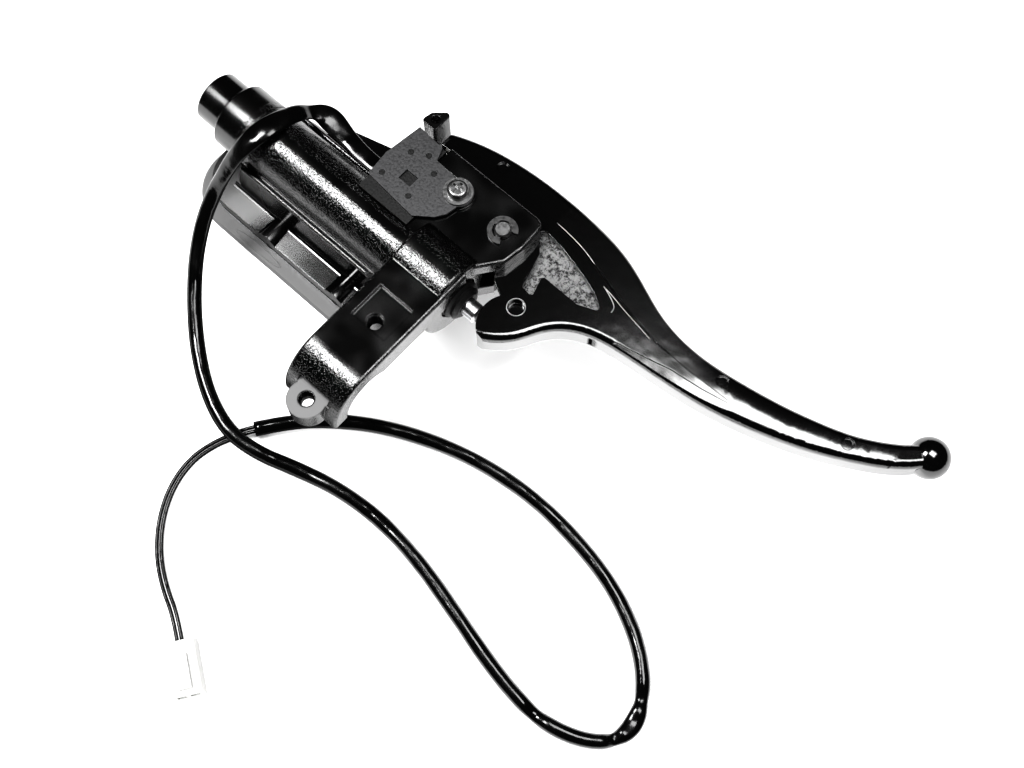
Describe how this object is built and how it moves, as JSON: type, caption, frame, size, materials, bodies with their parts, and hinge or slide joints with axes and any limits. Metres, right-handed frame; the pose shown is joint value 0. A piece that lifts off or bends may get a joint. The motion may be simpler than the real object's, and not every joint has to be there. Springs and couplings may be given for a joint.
{
  "type": "brake master cylinder with lever",
  "caption": "Handlebar brake master cylinder: barrel over a lidded fluid reservoir, half-round bar clamp, curved ball-end lever on a pivot pin, brake light switch with cord and connector.",
  "frame": {"origin": "centre of the handlebar in the clamp", "axes": "+X along the handlebar towards the lever's ball end, +Y to the front where the lever pivots, +Z away from the reservoir lid, on which the part lies"},
  "size_m": [0.2869, 0.2345, 0.0584],
  "materials": {
    "black_casting": "gloss black paint over a cast surface",
    "black_lever": "smooth gloss black paint",
    "lid_metal": "satin",
    "steel": "bright zinc",
    "dark_steel": "dark satin",
    "switch_plate": "grey satin",
    "piston_alloy": "turned",
    "brass": "satin",
    "rubber": "matte",
    "switch_plastic": "satin",
    "plunger_plastic": "satin",
    "sleeve_vinyl": "glossy soft vinyl",
    "wire_insulation": "satin",
    "connector_plastic": "satin"
  },
  "bodies": {
    "body": {"body_casting": "black_casting", "reservoir_lid": "lid_metal", "diaphragm": "rubber", "diaphragm_plate": "steel", "lid_screws": "steel", "pivot_pin": "steel", "e_clip": "steel", "return_spring": "steel", "stop_washer": "steel", "circlip": "steel", "dust_boot": "rubber", "switch_housing": "switch_plastic", "switch_plate": "switch_plate", "switch_screw": "steel", "switch_washer": "steel", "cord_sleeve": "sleeve_vinyl", "cord_wire_left": "wire_insulation", "cord_wire_right": "wire_insulation", "connector_housing": "connector_plastic", "connector_terminals": "brass"},
    "lever": {"lever": "black_lever", "pivot_bush": "brass"},
    "piston": {"piston": "piston_alloy", "primary_cup": "rubber", "secondary_cup": "rubber"},
    "plunger": {"switch_plunger": "plunger_plastic"}
  },
  "joints": [
    {"name": "lever_pivot", "type": "hinge", "parent": "body", "child": "lever", "pos_m": [0.0092, 0.0713, 0.003], "axis": [0, 0, -1], "range_deg": [0, 18], "stiffness_Nm_per_rad": 1.5, "springref_deg": -20.05},
    {"name": "piston_slide", "type": "slide", "parent": "body", "child": "piston", "axis": [-1, 0, 0], "range_m": [0, 0.0083], "deforming": ["return_spring", "dust_boot"]},
    {"name": "plunger_slide", "type": "slide", "parent": "body", "child": "plunger", "axis": [0, 1, 0], "range_m": [0, 0.0026]}
  ],
  "couplings": [
    {"joint": "piston_slide", "follows": "lever_pivot", "m_per_rad": 0.0262},
    {"joint": "plunger_slide", "follows": "lever_pivot", "m_per_rad": 0.00796}
  ]
}
